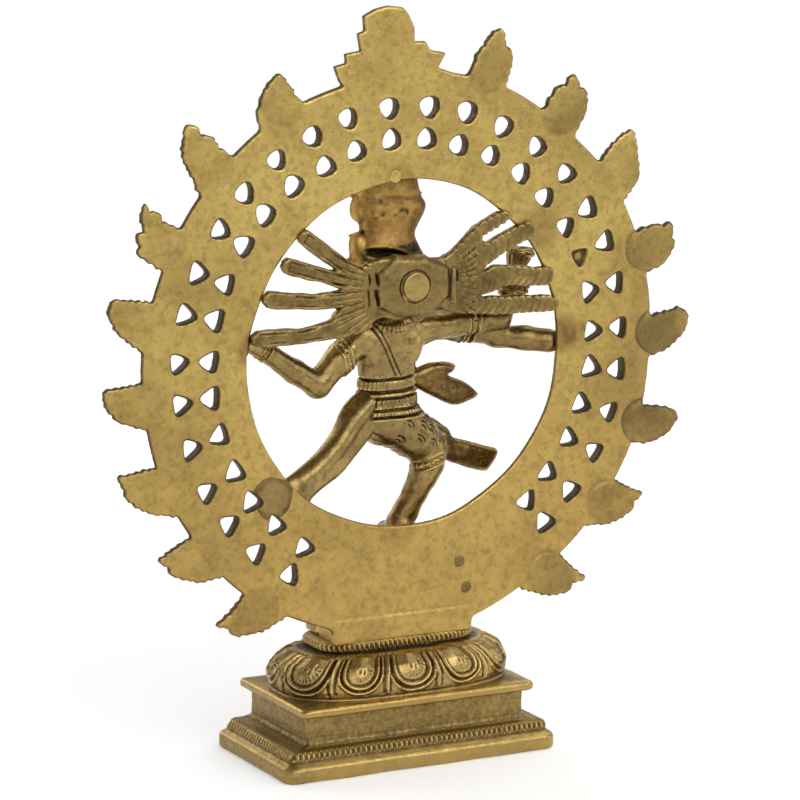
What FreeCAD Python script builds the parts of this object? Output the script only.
import FreeCAD, Part
import math
import os

import Sketcher
from FreeCAD import Placement, Rotation, Vector

# A brass dancing-Shiva statue, about 230 mm tall: a stepped plinth, a lotus pedestal, a flame
# ring that stands in the pedestal, and a four-armed figure that dances in the ring on a dwarf.
# Frame: +Z up, the figure faces -Y, +X is the figure's left. The origin is the centre of the
# plinth's underside. All lengths are millimetres.

DIMENSIONS = {
    # plinth, from the ground up
    "baseWidth": 93.6,
    "baseDepth": 50.8,
    "slabTop": 5.0,
    "bandWidth": 89.0,
    "bandDepth": 46.4,
    "bandBottom": 6.2,
    "bandTop": 9.0,
    "toothPitch": 1.9,
    "waistWidth": 74.8,
    "waistDepth": 39.2,
    "waistBottom": 10.4,
    "waistTop": 18.8,
    "capWidth": 80.6,
    "capDepth": 44.8,
    "capTop": 21.6,
    "cavityWidth": 64.0,
    "cavityDepth": 28.0,
    "cavityTop": 15.0,
    # lotus pedestal
    "lotusWidth": 76.6,
    "lotusDepth": 40.4,
    "lotusBelly": 28.0,
    "collarBottom": 34.5,
    "collarTop": 37.8,
    "collarWidth": 52.6,
    "collarDepth": 22.6,
    "petalPitch": 18.0,
    # flame ring
    "ringHeight": 125.3,
    "ringBack": 10.65,
    "ringThickness": 4.5,
    "rimRadius": 87.5,
    "openingRadius": 53.0,
    "reliefHeight": 1.0,
    "innerBandRadius": 56.5,
    "outerBandRadius": 84.0,
    "roundelRadius": 5.5,
    "roundelBore": 3.6,
    "roundelRow": 70.4,
    "holePitch": 10.296,
    "firstHole": -149.04,
    "holeCount": 29,
    "outerRow": 75.0,
    "innerRow": 65.8,
    "holeSize": 4.1,
    "holeCorner": 1.3,
    "neckWidth": 47.0,
    "neckDepth": 12.0,
    "neckTop": 44.0,
    "tenonWidth": 32.0,
    "tenonDepth": 6.0,
    "tenonLength": 9.0,
    "sillDepth": 9.0,
    "flameLength": 13.6,
    "flameRoot": 13.0,
    "crestTop": 105.3,
    # fixings
    "rivetRadius": 2.2,
    "rivetHead": 4.7,
    "pinRadius": 1.6,
    "dwarfPinRadius": 1.4,
    "fitGap": 0.05,
    # figure
    "shoulderRadius": 4.6,
    "upperArmRadius": 3.8,
    "wristRadius": 2.6,
    "hipRadius": 7.6,
    "kneeRadius": 5.6,
    "ankleRadius": 3.8,
    "headHeight": 21.0,
    "headWidth": 15.6,
    "headDepth": 17.0,
    "hairBack": 11.6,
    "hairThickness": 3.0,
    "bossRadius": 11.8,
    "bossHeight": 1.8,
}

doc = FreeCAD.newDocument("Nataraja")
sheet = doc.addObject("Spreadsheet::Sheet", "Dims")
for row, (alias, value) in enumerate(DIMENSIONS.items(), start=1):
    sheet.set(f"A{row}", alias)
    sheet.set(f"B{row}", str(value))
    sheet.setAlias(f"B{row}", alias)
doc.recompute()


def dim(alias):
    """The value of one driving dimension, read from the sheet."""
    return float(sheet.get(alias))


# ---------------------------------------------------------------- PartDesign helpers


def new_body(label):
    body = doc.addObject("PartDesign::Body", label)
    body.Label = label
    return body


def new_sketch(body, name, role, offset=None, height=None):
    """A sketch on one of the body's origin planes, moved along its normal by an expression."""
    sketch = body.newObject("Sketcher::SketchObject", name)
    plane = [f for f in body.Origin.OriginFeatures if f.Role == role][0]
    sketch.AttachmentSupport = [(plane, "")]
    sketch.MapMode = "FlatFace"
    if offset:
        sketch.setExpression("AttachmentOffset.Base.z", offset)
    if height:
        sketch.setExpression("AttachmentOffset.Base.y", height)
    return sketch


def add_rectangle(sketch, width, depth):
    """A rectangle centred on the sketch's origin, its two sizes bound to the sheet."""
    corners = [Vector(-9, -5, 0), Vector(9, -5, 0), Vector(9, 5, 0), Vector(-9, 5, 0)]
    for k in range(4):
        sketch.addGeometry(Part.LineSegment(corners[k], corners[(k + 1) % 4]))
    for k in range(4):
        sketch.addConstraint(Sketcher.Constraint("Coincident", k, 2, (k + 1) % 4, 1))
    for k in (0, 2):
        sketch.addConstraint(Sketcher.Constraint("Horizontal", k))
        sketch.addConstraint(Sketcher.Constraint("Vertical", k + 1))
    sketch.addConstraint(Sketcher.Constraint("Symmetric", 0, 1, 1, 2, -1, 1))
    for name, line, value, expression in (("width", 0, 18, width), ("depth", 1, 10, depth)):
        index = sketch.addConstraint(Sketcher.Constraint("Distance", line, value))
        sketch.renameConstraint(index, name)
        sketch.setExpression(f"Constraints.{name}", expression)


def add_circle(sketch, radius, name="radius"):
    """A circle centred on the sketch's origin, its radius bound to the sheet."""
    index = sketch.addGeometry(Part.Circle(Vector(0, 0, 0), Vector(0, 0, 1), 10))
    sketch.addConstraint(Sketcher.Constraint("Coincident", index, 3, -1, 1))
    constraint = sketch.addConstraint(Sketcher.Constraint("Radius", index, 10))
    sketch.renameConstraint(constraint, name)
    sketch.setExpression(f"Constraints.{name}", radius)


def add_outline(sketch, points, corner=0.0):
    """A closed outline through the points, with its corners rounded when a radius is given."""
    wire = [Vector(x, y, 0) for x, y in points]
    count = len(wire)
    starts, ends = [], []
    for k in range(count):
        before = (wire[k - 1] - wire[k]).normalize()
        after = (wire[(k + 1) % count] - wire[k]).normalize()
        half = before.getAngle(after) / 2
        reach = corner / math.tan(half)
        starts.append(wire[k] + before * reach)
        ends.append(wire[k] + after * reach)
        if corner:
            inward = (before + after).normalize()
            middle = wire[k] + inward * (corner / math.sin(half) - corner)
            sketch.addGeometry(Part.Arc(starts[k], middle, ends[k]))
    for k in range(count):
        sketch.addGeometry(Part.LineSegment(ends[k], starts[(k + 1) % count]))


def add_pad(body, sketch, length, name):
    pad = body.newObject("PartDesign::Pad", name)
    pad.Profile = sketch
    pad.setExpression("Length", length)
    return pad


def add_pocket(body, sketch, length, name):
    """A pocket cut towards the sketch's own normal, and a check that it cut something."""
    doc.recompute()
    before = body.Shape.Volume
    pocket = body.newObject("PartDesign::Pocket", name)
    pocket.Profile = sketch
    pocket.Reversed = True
    pocket.setExpression("Length", length)
    doc.recompute()
    assert body.Shape.Volume < before - 1.0, f"{name} cuts nothing"
    return pocket


def add_polar_pattern(body, feature, sketch, count, angle, reverse, name):
    """Repeats a feature about the normal of its sketch, from the first copy to the last."""
    pattern = body.newObject("PartDesign::PolarPattern", name)
    pattern.Originals = [feature]
    pattern.Axis = (sketch, ["N_Axis"])
    pattern.Reversed = reverse
    pattern.setExpression("Angle", angle)
    pattern.setExpression("Occurrences", count)
    body.Tip = pattern
    return pattern


# ---------------------------------------------------------------- free-form helpers


def section(centre, across, deep, half_across, half_deep, squareness=2.0):
    """A closed smooth curve: an ellipse at squareness 2, and a rounder rectangle above it."""
    points = []
    count = 20
    for k in range(count):
        angle = 2 * math.pi * k / count
        c, s = math.cos(angle), math.sin(angle)
        u = math.copysign(abs(c) ** (2 / squareness), c) * half_across
        v = math.copysign(abs(s) ** (2 / squareness), s) * half_deep
        points.append(centre + across * u + deep * v)
    curve = Part.BSplineCurve()
    curve.interpolate(points, PeriodicFlag=True)
    return Part.Wire([curve.toShape()])


def level(x, y, z, half_x, half_y, squareness=2.0):
    """A horizontal section."""
    return section(Vector(x, y, z), Vector(1, 0, 0), Vector(0, 1, 0), half_x, half_y, squareness)


def stack(levels, squareness=2.0):
    """A solid through horizontal sections, each (x, y, z, half x, half y)."""
    return Part.makeLoft([level(*one, squareness) for one in levels], True)


def blade(stations, squareness=2.0):
    """A solid along a path in a plane of constant depth: (x, y, z, half width, half depth)."""
    centres = [Vector(*one[:3]) for one in stations]
    wires = []
    for k, one in enumerate(stations):
        along = centres[min(k + 1, len(centres) - 1)] - centres[max(k - 1, 0)]
        across = along.normalize().cross(Vector(0, 1, 0)).normalize()
        deep = along.cross(across).normalize()
        wires.append(section(centres[k], across, deep, one[3], one[4], squareness))
    return Part.makeLoft(wires, True)


def scalloped_prism(smooth, height):
    """A band of the given outline whose edge is a row of round teeth."""
    count = int(smooth.Length / dim("toothPitch"))
    roots = smooth.discretize(Number=count + 1)[:count]
    arcs = []
    for k, root in enumerate(roots):
        following = roots[(k + 1) % count]
        chord = following - root
        outward = chord.cross(Vector(0, 0, 1)).normalize()
        crown = (root + following) * 0.5 + outward * (chord.Length * 0.34)
        arcs.append(Part.Arc(root, crown, following).toShape())
    return Part.Face(Part.Wire(arcs)).extrude(Vector(0, 0, height))


def add_feature(name, shape):
    feature = doc.addObject("Part::Feature", name)
    feature.Shape = shape
    return feature


def fuse(name, members):
    joined = doc.addObject("Part::MultiFuse", name)
    joined.Shapes = members
    joined.Refine = False
    return joined


def fuse_in_turn(name, members):
    """Joins many members one after another, which free-form shapes need."""
    result = members[0]
    for k, member in enumerate(members[1:], start=1):
        last = k == len(members) - 1
        step = doc.addObject("Part::Fuse", name if last else f"{name}_with_{k}")
        step.Base = result
        step.Tool = member
        step.Refine = False
        result = step
    return result


def cut(name, base, tools):
    """Cuts the tools from the base one after another. The last cut has the sub-part's name."""
    result = base
    for k, tool in enumerate(tools):
        last = k == len(tools) - 1
        step = doc.addObject("Part::Cut", name if last else f"{name}_less_{k + 1}")
        step.Base = result
        step.Tool = tool
        step.Refine = False
        result = step
    return result


def cylinder_along_y(name, x, z, radius, y_front, y_back):
    """A cylinder along Y whose radius is bound to the sheet."""
    rod = doc.addObject("Part::Cylinder", name)
    rod.setExpression("Radius", radius)
    rod.Height = y_back - y_front
    rod.Placement = Placement(Vector(x, y_front, z), Rotation(Vector(1, 0, 0), -90))
    return rod


def box_between(name, corner, sizes):
    """A plain box from its low corner, its three sizes bound to the sheet."""
    block = doc.addObject("Part::Box", name)
    for side, size in zip(("Length", "Width", "Height"), sizes):
        block.setExpression(side, size)
    block.Placement = Placement(Vector(*corner), Rotation())
    return block


def ball(name, at, radius):
    sphere = doc.addObject("Part::Sphere", name)
    sphere.setExpression("Radius", radius)
    sphere.Placement = Placement(Vector(*at), Rotation())
    return sphere


def egg(name, at, half_x, half_y, half_z):
    ellipsoid = doc.addObject("Part::Ellipsoid", name)
    ellipsoid.setExpression("Radius1", half_z)
    ellipsoid.setExpression("Radius2", half_x)
    ellipsoid.setExpression("Radius3", half_y)
    ellipsoid.Placement = Placement(Vector(*at), Rotation())
    return ellipsoid


def limb(name, start, end, start_radius, end_radius):
    """A tapered limb between two joints with a slightly larger ball at its far joint."""
    begin, finish = Vector(*start), Vector(*end)
    along = finish - begin
    cone = doc.addObject("Part::Cone", name)
    cone.setExpression("Radius1", start_radius)
    cone.setExpression("Radius2", end_radius)
    cone.Height = along.Length
    cone.Placement = Placement(begin, Rotation(Vector(0, 0, 1), along))
    return [cone, ball(f"{name}_joint", end, f"{end_radius} * 1.08")]


# ---------------------------------------------------------------- plinth and pedestal


def plinth_block(body, name, width, depth, bottom, height):
    sketch = new_sketch(body, f"{name}_sketch", "XY_Plane", bottom)
    add_rectangle(sketch, width, depth)
    return add_pad(body, sketch, height, name)


def plinth_slope(body, name, lower, upper):
    """A four-sided slope between two rectangles, each (width, depth, level)."""
    sketches = []
    for part, (width, depth, where) in zip(("low", "high"), (lower, upper)):
        sketch = new_sketch(body, f"{name}_{part}", "XY_Plane", where)
        add_rectangle(sketch, width, depth)
        sketches.append(sketch)
    doc.recompute()
    loft = body.newObject("PartDesign::AdditiveLoft", name)
    loft.Profile = sketches[0]
    loft.Sections = [sketches[1]]
    loft.Ruled = True
    return loft


def make_plinth():
    """Foot slab, toothed band, cove, waist and cap, cast in one and hollow beneath."""
    body = new_body("plinth_casting")
    base, band = ("Dims.baseWidth", "Dims.baseDepth"), ("Dims.bandWidth", "Dims.bandDepth")
    waist, cap = ("Dims.waistWidth", "Dims.waistDepth"), ("Dims.capWidth", "Dims.capDepth")
    plinth_block(body, "slab", *base, None, "Dims.slabTop")
    plinth_slope(body, "bevel", (*base, "Dims.slabTop"), (*band, "Dims.bandBottom"))
    plinth_block(body, "band", *band, "Dims.bandBottom", "Dims.bandTop - Dims.bandBottom")
    plinth_slope(body, "cove", (*band, "Dims.bandTop"), (*waist, "Dims.waistBottom"))
    plinth_block(
        body, "waist", *waist, "Dims.waistBottom", "Dims.waistTop - Dims.waistBottom"
    )
    plinth_block(body, "cap", *cap, "Dims.waistTop", "Dims.capTop - Dims.waistTop")
    hollow = new_sketch(body, "hollow_sketch", "XY_Plane")
    add_rectangle(hollow, "Dims.cavityWidth", "Dims.cavityDepth")
    add_pocket(body, hollow, "Dims.cavityTop", "hollow")
    half_x, half_y, bottom = dim("bandWidth") / 2, dim("bandDepth") / 2, dim("bandBottom")
    corners = [(half_x, half_y), (-half_x, half_y), (-half_x, -half_y), (half_x, -half_y)]
    outline = Part.makePolygon([Vector(x, y, bottom) for x, y in corners + corners[:1]])
    teeth = add_feature("plinth_teeth", scalloped_prism(outline, dim("bandTop") - bottom))
    cavity = box_between(
        "plinth_cavity",
        (-dim("cavityWidth") / 2, -dim("cavityDepth") / 2, 0),
        ("Dims.cavityWidth", "Dims.cavityDepth", "Dims.cavityTop"),
    )
    return cut("plinth", fuse("plinth_solid", [body, teeth]), [cavity])


def petal_places():
    """(x, y) of the lotus petals: three along each side and one at each corner."""
    half_x, half_y = dim("lotusWidth") / 2, dim("lotusDepth") / 2
    pitch = dim("petalPitch")
    places = []
    for side in (-1, 1):
        places += [(k * pitch, side * half_y) for k in (-1, 0, 1)]
        places += [(end * (half_x - 4), side * (half_y - 7)) for end in (-1, 1)]
    return places


def make_lotus_pedestal():
    """A swelling cushion ringed with petals, with a toothed collar slotted for the ring."""
    half_x, half_y = dim("lotusWidth") / 2, dim("lotusDepth") / 2
    foot, belly, top = dim("capTop"), dim("lotusBelly"), dim("collarBottom")
    dome = stack(
        [
            (0, 0, foot, half_x - 1.2, half_y - 0.6),
            (0, 0, belly, half_x - 0.8, half_y - 0.8),
            (0, 0, belly + 3.6, half_x - 3, half_y - 2.6),
            (0, 0, top + 0.2, half_x - 9, half_y - 6.4),
        ],
        2.7,
    )
    collar_edge = level(0, 0, top, dim("collarWidth") / 2, dim("collarDepth") / 2, 4)
    collar = scalloped_prism(collar_edge, dim("collarTop") - top)
    members = [add_feature("lotus_dome", dome), add_feature("lotus_collar", collar)]
    for k, (x, y) in enumerate(petal_places()):
        petal = doc.addObject("Part::Ellipsoid", f"lotus_petal_{k + 1}")
        petal.Radius1 = (top - foot) * 0.46
        petal.setExpression("Radius2", "Dims.petalPitch * 0.42")
        petal.Radius3 = 3.4
        petal.Placement = Placement(Vector(x * 0.92, y * 0.84, belly), Rotation())
        members.append(petal)
    gap = dim("fitGap")
    slot = box_between(
        "lotus_slot",
        (
            -dim("tenonWidth") / 2 - gap,
            tenon_back() - dim("tenonDepth") - gap,
            dim("collarTop") - dim("tenonLength") - gap,
        ),
        (
            "Dims.tenonWidth + 2 * Dims.fitGap",
            "Dims.tenonDepth + 2 * Dims.fitGap",
            "Dims.tenonLength + 2 * Dims.fitGap",
        ),
    )
    floor = box_between(
        "lotus_floor",
        (-dim("lotusWidth"), -dim("lotusDepth"), 0),
        ("Dims.lotusWidth * 2", "Dims.lotusDepth * 2", "Dims.capTop"),
    )
    return cut("lotus_pedestal", fuse("lotus_solid", members), [floor, slot])


# ---------------------------------------------------------------- flame ring


def ring_front():
    return dim("ringBack") - dim("ringThickness")


def tenon_back():
    """The tenon's back face: centred in the depth of the ring's neck."""
    return dim("ringBack") - (dim("neckDepth") - dim("tenonDepth")) / 2


def polar(radius, degrees, sideways=0.0):
    """A point of the ring's plane: degrees from the top towards -X, and sideways to the top."""
    angle = math.radians(degrees)
    outward = Vector(-math.sin(angle), math.cos(angle), 0)
    upward = Vector(math.cos(angle), math.sin(angle), 0)
    point = outward * radius + upward * sideways
    return (point.x, point.y)


def hole_outline(row, degrees, towards_centre):
    """The three corners of a pierced hole whose apex points to or from the ring's centre."""
    size = dim("holeSize")
    apex = -size if towards_centre else size
    base = size * 0.72 if towards_centre else -size * 0.72
    corners = ((apex, 0.0), (base, size * 0.95), (base, -size * 0.95))
    return [polar(row + out, degrees, side) for out, side in corners]


def flame_outline(degrees, side):
    """One flame of the rim: a full lower edge, a tip that leans to the top, a toothed back."""
    rim, tall, half = dim("rimRadius"), dim("flameLength"), dim("flameRoot") / 2
    steps = (
        (-1.5, -half * 0.8),
        (tall * 0.45, -half * 1.05),
        (tall * 0.80, -half * 0.55),
        (tall, half * 0.25),
        (tall * 0.86, half * 0.72),
        (tall * 0.60, half * 0.62),
        (tall * 0.52, half * 1.0),
        (tall * 0.28, half * 0.9),
        (-1.5, half * 1.15),
    )
    return [polar(rim + out, degrees, side * across) for out, across in steps]


def crest_outline():
    """The stepped, round-headed crest at the top, which leans a little to +X."""
    rim, top = dim("rimRadius") - 4, dim("crestTop")
    shoulder, middle = top - 14.5, top - 9
    left = [(23, rim), (21.5, shoulder), (16.2, shoulder + 0.4), (16.2, middle + 1), (14.6, top - 3)]
    crown = [(11.2, top - 0.8), (6.6, top), (1.0, top - 1.4)]
    right = [(-2.0, middle + 2), (-3.5, shoulder + 1.2), (-8.5, shoulder), (-14.4, rim)]
    return left + crown + right


FLAME_SIDES = (
    # side, first tip and last tip, in degrees from the top
    (1, 16.5, 141.0),
    (-1, -26.5, -141.5),
)
FLAMES_PER_SIDE = 8


def make_ring():
    """Flat ring with raised front bands and roundels, pierced rows, flames, neck and tenon."""
    body = new_body("ring_casting")
    back = "-Dims.ringBack"
    front = "-(Dims.ringBack - Dims.ringThickness)"
    centre = "Dims.ringHeight"

    disc = new_sketch(body, "disc_sketch", "XZ_Plane", back, centre)
    add_circle(disc, "Dims.rimRadius")
    add_pad(body, disc, "Dims.ringThickness", "disc")

    for name, outer, inner in (
        ("outer_band", "Dims.rimRadius", "Dims.outerBandRadius"),
        ("inner_band", "Dims.innerBandRadius", "Dims.openingRadius"),
    ):
        sketch = new_sketch(body, f"{name}_sketch", "XZ_Plane", front, centre)
        add_circle(sketch, outer, "outer")
        add_circle(sketch, inner, "inner")
        add_pad(body, sketch, "Dims.reliefHeight", name)

    roundel = new_sketch(body, "roundel_sketch", "XZ_Plane", front, centre)
    at = Vector(*polar(dim("roundelRow"), dim("firstHole") + dim("holePitch") / 2), 0)
    for radius in (dim("roundelRadius"), dim("roundelBore")):
        roundel.addGeometry(Part.Circle(at, Vector(0, 0, 1), radius))
    boss = add_pad(body, roundel, "Dims.reliefHeight", "roundel")
    doc.recompute()
    add_polar_pattern(
        body, boss, roundel, "Dims.holeCount - 1", "Dims.holePitch * (Dims.holeCount - 2)",
        False, "roundels",
    )

    opening = new_sketch(body, "opening_sketch", "XZ_Plane", back, centre)
    add_circle(opening, "Dims.openingRadius")
    add_pocket(body, opening, "Dims.ringThickness + 2 * Dims.reliefHeight", "opening")

    holes = new_sketch(body, "hole_sketch", "XZ_Plane", back, centre)
    first = dim("firstHole")
    add_outline(holes, hole_outline(dim("outerRow"), first, True), dim("holeCorner"))
    add_outline(holes, hole_outline(dim("innerRow"), first, False), dim("holeCorner"))
    pair = add_pocket(body, holes, "Dims.ringThickness + 2 * Dims.reliefHeight", "hole_pair")
    add_polar_pattern(
        body, pair, holes, "Dims.holeCount", "Dims.holePitch * (Dims.holeCount - 1)",
        False, "hole_pairs",
    )
    doc.recompute()

    for side, tip, last_tip in FLAME_SIDES:
        name = "right" if side > 0 else "left"
        sketch = new_sketch(body, f"{name}_flame_sketch", "XZ_Plane", back, centre)
        add_outline(sketch, flame_outline(tip, side))
        flame = add_pad(body, sketch, "Dims.ringThickness", f"{name}_flame")
        doc.recompute()
        add_polar_pattern(
            body, flame, sketch, str(FLAMES_PER_SIDE), str(abs(last_tip - tip)), side < 0,
            f"{name}_flames",
        )
        doc.recompute()

    crest = new_sketch(body, "crest_sketch", "XZ_Plane", back, centre)
    add_outline(crest, crest_outline())
    add_pad(body, crest, "Dims.ringThickness", "crest")

    neck = new_sketch(body, "neck_sketch", "XZ_Plane", back, centre)
    wide, top = dim("neckWidth") / 2, dim("neckTop") - dim("ringHeight")
    drop = dim("collarTop") - dim("ringHeight")
    add_outline(neck, [(-wide, drop), (wide, drop), (wide, top), (-wide, top)])
    add_pad(body, neck, "Dims.neckDepth", "neck")

    tenon = new_sketch(
        body, "tenon_sketch", "XZ_Plane",
        "-(Dims.ringBack - (Dims.neckDepth - Dims.tenonDepth) / 2)", centre,
    )
    thin, low = dim("tenonWidth") / 2, drop - dim("tenonLength")
    add_outline(tenon, [(-thin, low), (thin, low), (thin, drop + 1), (-thin, drop + 1)])
    add_pad(body, tenon, "Dims.tenonDepth", "tenon")

    # one inner hole was never cut through: a web closes its front half
    web = new_sketch(body, "web_sketch", "XZ_Plane", front, centre)
    blind = dim("firstHole") + 21 * dim("holePitch")
    add_outline(web, hole_outline(dim("innerRow"), blind, False), dim("holeCorner"))
    web_pad = add_pad(body, web, "Dims.ringThickness * 0.6", "blind_web")
    web_pad.Reversed = True
    doc.recompute()
    return body


# ---------------------------------------------------------------- fixings


PIN_PLACES = {
    # name: (x, z, radius, front end)
    "crown_pin": (4.4, 179.7, "Dims.pinRadius", -1.0),
    "dwarf_pin_high": (-19.2, 59.3, "Dims.dwarfPinRadius", -2.0),
    "dwarf_pin_low": (-21.8, 50.9, "Dims.dwarfPinRadius", -2.0),
}
RIVET_AT = (-1.0, 147.2)


def pin_solid(name):
    """A pin from inside the casting to a peened end that stands just proud of the ring's back."""
    x, z, radius, front = PIN_PLACES[name]
    back = dim("ringBack")
    shank = cylinder_along_y(f"{name}_shank", x, z, radius, front, back)
    end = cylinder_along_y(f"{name}_end", x, z, f"{radius} * 1.25", back, back + 0.35)
    return [shank, end]


def pin_bore(name):
    """The hole for a pin, wider by the fitting gap."""
    x, z, radius, front = PIN_PLACES[name]
    return cylinder_along_y(
        f"{name}_bore", x, z, f"{radius} + Dims.fitGap", front - dim("fitGap"), dim("ringBack")
    )


def make_hair_rivet():
    x, z = RIVET_AT
    seat = dim("hairBack") + dim("bossHeight")
    shank = cylinder_along_y("rivet_shank", x, z, "Dims.rivetRadius", 1.0, seat)
    head = cylinder_along_y("rivet_head", x, z, "Dims.rivetHead", seat, seat + 1.5)
    rivet = fuse("hair_rivet", [shank, head])
    return rivet


# ---------------------------------------------------------------- hair plate


LOCKS = {
    # name: ((x, z, half width), ...) from the palm of the plate to the tip
    "left_1": ((15, 150, 3.0), (23.2, 154.8, 2.3), (35.4, 163.6, 2.2)),
    "left_2": ((15, 148, 3.0), (28.0, 151.0, 2.3), (41.0, 155.2, 2.3)),
    "left_3": ((15, 144, 3.0), (33.0, 144.0, 2.4), (47.2, 145.4, 2.3)),
    "left_4": ((15, 138, 4.0), (30.0, 134.6, 2.5), (50.4, 133.6, 2.4)),
    "right_1": ((-12, 149, 2.6), (-18.8, 157, 2.3), (-24.8, 163, 2.1), (-31.4, 166.6, 1.5)),
    "right_2": ((-12, 148, 3.0), (-26.8, 155.2, 3.0), (-34.8, 159, 2.5), (-39.4, 160.0, 1.7)),
    "right_3": ((-12, 146, 3.2), (-28.8, 148.6, 3.4), (-38.8, 147.2, 2.6), (-47.6, 146.2, 1.9)),
    "right_4": ((-12, 141, 3.0), (-26.0, 140, 2.6), (-38.8, 139.4, 2.5), (-50.2, 139.1, 2.0)),
}


def bar_outline(path):
    """The two edges of a bar that follows a path of (x, z, half width) stations."""
    left, right = [], []
    for k, (x, z, half) in enumerate(path):
        ahead, behind = path[min(k + 1, len(path) - 1)], path[max(k - 1, 0)]
        along = Vector(ahead[0] - behind[0], ahead[1] - behind[1], 0).normalize()
        left.append((x - along.y * half, z + along.x * half))
        right.append((x + along.y * half, z - along.x * half))
    return left + right[::-1]


def make_hair_fan():
    """A flat plate: an eight-sided boss, a palm and four locks each side, bored for the rivet."""
    body = new_body("hair_fan")
    back = "-Dims.hairBack"
    palm = new_sketch(body, "palm_sketch", "XZ_Plane", back)
    outline = [(-16, 139.5), (-10, 137), (2, 135.5), (12, 134), (26, 132), (28, 137), (29, 146)]
    outline += [(27, 152), (21, 155), (8, 156), (-8, 156), (-16, 153)]
    add_outline(palm, outline)
    add_pad(body, palm, "Dims.hairThickness", "palm")
    for name, path in LOCKS.items():
        sketch = new_sketch(body, f"{name}_sketch", "XZ_Plane", back)
        add_outline(sketch, bar_outline(path))
        add_pad(body, sketch, "Dims.hairThickness", name)
    boss = new_sketch(body, "boss_sketch", "XZ_Plane", "-(Dims.hairBack + Dims.bossHeight)")
    radius, (x, z) = dim("bossRadius"), RIVET_AT
    corners = [math.radians(45 * k + 22.5) for k in range(8)]
    add_outline(boss, [(x + radius * math.cos(a), z + radius * math.sin(a)) for a in corners])
    add_pad(body, boss, "Dims.bossHeight + 1", "boss")
    bore = new_sketch(body, "bore_sketch", "XZ_Plane", "-(Dims.hairBack + Dims.bossHeight)")
    ring = Part.Circle(Vector(x, z, 0), Vector(0, 0, 1), dim("rivetRadius") + dim("fitGap"))
    bore.addGeometry(ring)
    add_pocket(body, bore, "Dims.bossHeight + Dims.hairThickness + 1", "rivet_bore")
    return body


# ---------------------------------------------------------------- figure


def make_torso():
    """Seat, waist, chest and neck as one swelling column."""
    return add_feature(
        "torso",
        stack(
            [
                (0.2, -1, 99.0, 7.2, 5.6),
                (0.2, -1, 104.0, 9.6, 6.6),
                (0.6, -1, 110.0, 9.4, 6.4),
                (0.8, -1, 117.0, 8.4, 5.6),
                (0.6, -1, 124.0, 10.0, 6.4),
                (0.4, -1, 130.0, 11.4, 6.2),
                (0.4, -1, 134.5, 5.0, 4.8),
            ]
        ),
    )


def make_legs():
    """The bent standing leg and the leg raised across the body."""
    hip, knee, shin, ankle = (-2, -1, 102), (-14.5, -2, 93.5), (-12.5, -1.5, 86), (-4, -1.5, 71)
    standing = limb("standing_thigh", hip, knee, "Dims.hipRadius", "Dims.kneeRadius")
    standing += limb("standing_calf", knee, shin, "Dims.kneeRadius * 0.9", "Dims.kneeRadius * 0.86")
    standing += limb("standing_shin", shin, ankle, "Dims.kneeRadius * 0.86", "Dims.ankleRadius")
    foot = add_feature(
        "standing_foot",
        stack([(-4.2, -3.4, 65.6, 3.8, 7.6), (-4.2, -3.2, 68, 3.6, 7.0), (-4, -1.4, 72, 3.4, 3.4)]),
    )
    raised_hip, raised_knee, raised_ankle = (3, -5, 103), (-8, -14, 104), (-23, -8.6, 94.5)
    raised = limb("raised_thigh", raised_hip, raised_knee, "Dims.hipRadius * 0.9", "Dims.kneeRadius * 0.9")
    raised += limb("raised_shin", raised_knee, raised_ankle, "Dims.kneeRadius * 0.8", "Dims.ankleRadius")
    sole = add_feature(
        "raised_foot",
        blade([(-20, -8.8, 95.0, 3.4, 3.0), (-30, -8, 91.0, 3.9, 2.6), (-39, -7.4, 86.4, 4.2, 1.9)]),
    )
    return standing + [foot] + raised + [sole]


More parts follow.
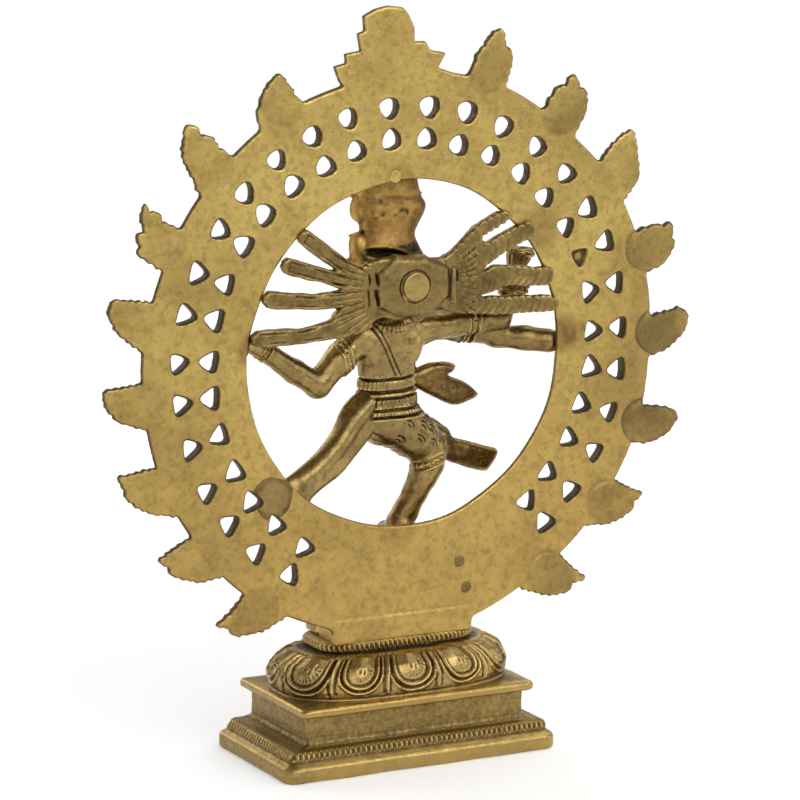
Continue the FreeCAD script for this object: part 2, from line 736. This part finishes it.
def make_arms():
    """Four arms: drum arm and blessing arm to -X, flame arm and trunk-like arm to +X."""
    upper, wrist = "Dims.upperArmRadius", "Dims.wristRadius"
    shoulder_right, shoulder_left = (-11, 0, 130.4), (11, 0, 129.6)
    members = [ball("right_shoulder", shoulder_right, "Dims.shoulderRadius")]
    members.append(ball("left_shoulder", shoulder_left, "Dims.shoulderRadius"))
    members += limb("drum_upper_arm", (-12, 1, 132), (-38, 0.5, 132.4), "Dims.shoulderRadius * 0.9", upper)
    members += limb("drum_forearm", (-38, 0.5, 132.4), (-43.4, -0.6, 139.6), upper, wrist)
    members += limb("blessing_upper_arm", (-12, -3, 129), (-38, -2, 126.4), upper, f"{upper} * 0.95")
    members += limb("blessing_forearm", (-38, -2, 126.4), (-26.5, -12.5, 130), f"{upper} * 0.9", wrist)
    members += limb("elbow_scarf", (-38, -2, 126.2), (-52.6, 5.0, 124.8), f"{upper} * 0.9", upper)
    members += limb("flame_upper_arm", (11, 0, 129.6), (25.5, 1, 116.2), "Dims.shoulderRadius", upper)
    members += limb("flame_forearm", (25.5, 1, 116.2), (49, 3, 131), upper, f"{wrist} * 1.1")
    members += limb("trunk_upper_arm", (9, -4, 128.5), (4, -12.4, 121.5), upper, f"{upper} * 0.86")
    members += limb("trunk_forearm", (4, -12.4, 121.5), (-14, -13, 117), f"{upper} * 0.84", wrist)
    palm = blade(
        [(-12, -13, 117.6, 2.8, 2.4), (-18, -12.8, 114.6, 4.6, 2.4), (-27, -12.4, 110, 4.6, 2.2)]
        + [(-36, -12, 104.8, 2.2, 1.6)]
    )
    thumb = blade([(-12, -12.6, 118, 2.0, 2.0), (-20, -12, 117.4, 2.0, 1.9), (-27, -12, 116.0, 1.8, 1.5)])
    blessing = stack(
        [(-26.5, -12.8, 129, 2.8, 2.4), (-26, -13.4, 133, 3.8, 2.2), (-25.4, -13.8, 138, 4.0, 2.0)]
        + [(-25, -14.4, 145, 2.6, 1.6)]
    )
    hands = [("trunk_palm", palm), ("trunk_thumb", thumb), ("blessing_hand", blessing)]
    return members + [add_feature(name, shape) for name, shape in hands]


def make_head():
    """Head, plain face and nape, between the shoulders and the crown."""
    at = (0.5, -2.2, 142.5)
    skull = egg("skull", at, "Dims.headWidth / 2", "Dims.headDepth / 2", "Dims.headHeight / 2")
    nape = limb("nape", (0.4, -1, 130), (0.5, -1, 138), "Dims.ankleRadius * 1.15", "Dims.ankleRadius * 1.1")
    hair = doc.addObject("Part::Cylinder", "nape_seat")
    hair.setExpression("Radius", "Dims.headWidth * 0.42")
    hair.Height = dim("hairBack") - dim("hairThickness") - 2.0
    hair.Placement = Placement(Vector(RIVET_AT[0], 2.0, RIVET_AT[1] - 3), Rotation(Vector(1, 0, 0), -90))
    return [skull, hair] + nape


def make_crown_solid():
    """A tall matted-hair crown: a vase-like column, flat and hollowed at the back."""
    column = stack(
        [
            (0.8, -1.6, 150.6, 9.4, 6.6),
            (0.8, -1.6, 156.0, 11.4, 7.0),
            (0.9, -1.4, 163.0, 8.8, 6.0),
            (0.9, -1.4, 169.0, 11.8, 6.8),
            (1.0, -1.6, 175.0, 9.8, 6.2),
            (1.2, -1.6, 181.0, 9.6, 6.2),
            (1.2, -2.0, 185.0, 5.6, 4.4),
        ]
    )
    hollow = stack([(0.8, 5.6, 155.0, 8.0, 3.4), (0.9, 5.6, 165.0, 7.2, 3.4), (0.9, 5.6, 174.0, 7.6, 3.4)])
    return cut(
        "crown_column", add_feature("crown_mass", column), [add_feature("crown_hollow", hollow)]
    )


# ---------------------------------------------------------------- attributes of the figure


def make_sash():
    """The flying sash: a rounded strap from the left hip down to the inside of the ring."""
    return add_feature(
        "sash_strap",
        blade(
            [
                (6.0, 0.5, 109.0, 3.6, 2.6),
                (13.0, 1.4, 103.6, 5.4, 2.8),
                (21.0, 3.0, 95.4, 4.6, 2.6),
                (29.0, 5.0, 90.0, 3.6, 2.4),
                (37.4, 7.4, 86.2, 3.4, 2.2),
            ]
        ),
    )


def make_drum():
    """An hourglass drum, upright in the rear right hand."""
    profile = ((-7.0, 4.6), (-6.0, 4.8), (0.0, 2.7), (6.0, 4.8), (7.0, 4.6))
    shape = stack([(0, 0, along, radius, radius) for along, radius in profile])
    tilt = Rotation(Vector(0, 1, 0), -14)
    shape.Placement = Placement(Vector(-44.2, -1.4, 146.0), tilt)
    return add_feature("drum_shell", shape)


def make_hand_flame():
    """A leaf-shaped flame held against the front of the ring by the rear left hand."""
    return add_feature(
        "flame_leaf",
        stack(
            [(52, 0.8, 128.6, 2.0, 1.8), (53.4, 0.8, 133, 4.2, 3.4), (54, 1.0, 138, 3.4, 2.8)]
            + [(55.0, 1.6, 144.5, 0.9, 0.9)]
        ),
    )


def make_dwarf():
    """The prone dwarf with raised head on his own low sill, lugged for the two ring pins."""
    front = dim("ringBack") - dim("neckDepth")
    sill = box_between(
        "dwarf_sill",
        (-dim("neckWidth") / 2, front - dim("sillDepth"), dim("collarTop")),
        ("Dims.neckWidth", "Dims.sillDepth", "Dims.neckTop + 1 - Dims.collarTop"),
    )
    trunk = add_feature(
        "dwarf_trunk",
        blade(
            [
                (-22, -4.2, 54.6, 5.2, 5.0),
                (-15, -4, 55.4, 7.4, 6.6),
                (-6, -4, 54.4, 9.2, 7.6),
                (4, -4, 52.2, 8.6, 7.4),
                (15, -4, 50.6, 7.4, 7.0),
            ]
        ),
    )
    feet = limb("dwarf_thigh", (12, -5, 50.6), (22, -6, 48), "6.2", "4.4")
    arm = limb("dwarf_arm", (-14, -8, 56), (-20, -11, 48), "3.6", "3.2")
    head = ball("dwarf_head", (-20.5, -6.5, 61.0), "6.4")
    members = [sill, trunk, head] + feet + arm
    for name in ("dwarf_pin_high", "dwarf_pin_low"):
        x, z, _, _ = PIN_PLACES[name]
        members.append(cylinder_along_y(f"{name}_lug", x, z, "3.4", -5.0, ring_front()))
    return fuse_in_turn("dwarf_solid", members)


def make_brazes():
    """Two lumps of braze where the right elbow and the left hand meet the ring."""
    right = egg("right_braze", (-52.0, 7.6, 127.6), "3.2", "2.6", "4.0")
    left = egg("left_braze", (51.0, 7.4, 129.4), "3.0", "2.4", "4.4")
    return fuse("braze_mass", [right, left])


def make_sash_solder():
    """A thin round pool of solder on the ring's back, between two pairs of holes."""
    x, z = polar(58.9, -133.0)
    return cylinder_along_y(
        "sash_solder", x, dim("ringHeight") + z, "5.4", dim("ringBack"), dim("ringBack") + 0.4
    )


def ring_envelope():
    """The ring's own space as two plain tubes, for cutting what stands against it."""
    back, front, centre = dim("ringBack") + 4, ring_front(), dim("ringHeight")
    raised = front - dim("reliefHeight")
    plate = cylinder_along_y("envelope_plate", 0, centre, "Dims.rimRadius", front, back)
    band = cylinder_along_y("envelope_band", 0, centre, "Dims.innerBandRadius", raised, back)
    inner = cylinder_along_y("envelope_bore", 0, centre, "Dims.openingRadius", raised, back)
    return cut("envelope", fuse("envelope_solid", [plate, band]), [inner])


# ---------------------------------------------------------------- assembly


def build():
    """Every sub-part, with what it stands against cut from it so that no two overlap."""
    plinth = make_plinth()
    lotus = make_lotus_pedestal()
    ring_body = make_ring()
    fan = make_hair_fan()
    envelope = ring_envelope()
    bores = {name: pin_bore(name) for name in PIN_PLACES}
    ring = cut("aureole_ring", ring_body, list(bores.values()))
    rivet = make_hair_rivet()
    x, z = RIVET_AT
    rivet_bore = cylinder_along_y("head_bore", x, z, "Dims.rivetRadius + Dims.fitGap", 0.9, 12.0)
    fan_space = box_between(
        "fan_space",
        (-dim("openingRadius"), dim("hairBack") - dim("hairThickness"), dim("ringHeight")),
        ("Dims.openingRadius * 2", "Dims.hairThickness * 3", "Dims.openingRadius"),
    )
    figure_members = [make_torso()] + make_legs() + make_arms() + make_head()
    figure_mass = fuse_in_turn("figure_mass", figure_members)
    figure = cut("figure_body", figure_mass, [envelope, fan_space, rivet_bore])
    crown = cut("crown", make_crown_solid(), [figure, envelope, bores["crown_pin"]])
    sash = cut("waist_sash", make_sash(), [figure, envelope])
    drum = cut("hand_drum", make_drum(), [figure])
    flame = cut("hand_flame", make_hand_flame(), [figure, envelope])
    neck_space = box_between(
        "neck_space",
        (-dim("neckWidth") / 2, dim("ringBack") - dim("neckDepth"), dim("collarTop")),
        ("Dims.neckWidth", "Dims.neckDepth", "Dims.neckTop - Dims.collarTop"),
    )
    dwarf_tools = [figure, envelope, neck_space, bores["dwarf_pin_high"], bores["dwarf_pin_low"]]
    dwarf = cut("dwarf", make_dwarf(), dwarf_tools)
    brazes = cut("arm_brazes", make_brazes(), [envelope, figure])
    crown_pin = fuse("crown_pin", pin_solid("crown_pin"))
    dwarf_pins = fuse("dwarf_rivets", pin_solid("dwarf_pin_high") + pin_solid("dwarf_pin_low"))
    solder = make_sash_solder()
    castings = [plinth, lotus, ring, figure, crown, fan, sash, drum, flame, dwarf]
    return castings + [rivet, crown_pin, dwarf_pins, brazes, solder]


def check(parts):
    """Stops the build when any feature failed or a sub-part is missing or broken."""
    failed = [o.Name for o in doc.Objects if {"Invalid", "Error"} & set(o.State)]
    assert not failed, f"failed features: {failed}"
    for part in parts:
        shape = part.Shape
        assert not shape.isNull() and shape.isValid(), f"{part.Label} has no valid shape"
        box = shape.BoundBox
        print(
            f"{part.Label}: {len(shape.Solids)} solid(s), {shape.Volume:.0f} mm3, "
            f"x {box.XMin:.1f}..{box.XMax:.1f}, y {box.YMin:.1f}..{box.YMax:.1f}, "
            f"z {box.ZMin:.1f}..{box.ZMax:.1f}"
        )


def main():
    parts = build()
    doc.recompute()
    check(parts)
    os.makedirs("parts", exist_ok=True)
    for part in parts:
        part.Shape.exportStep(f"parts/{part.Label}.step")


main()
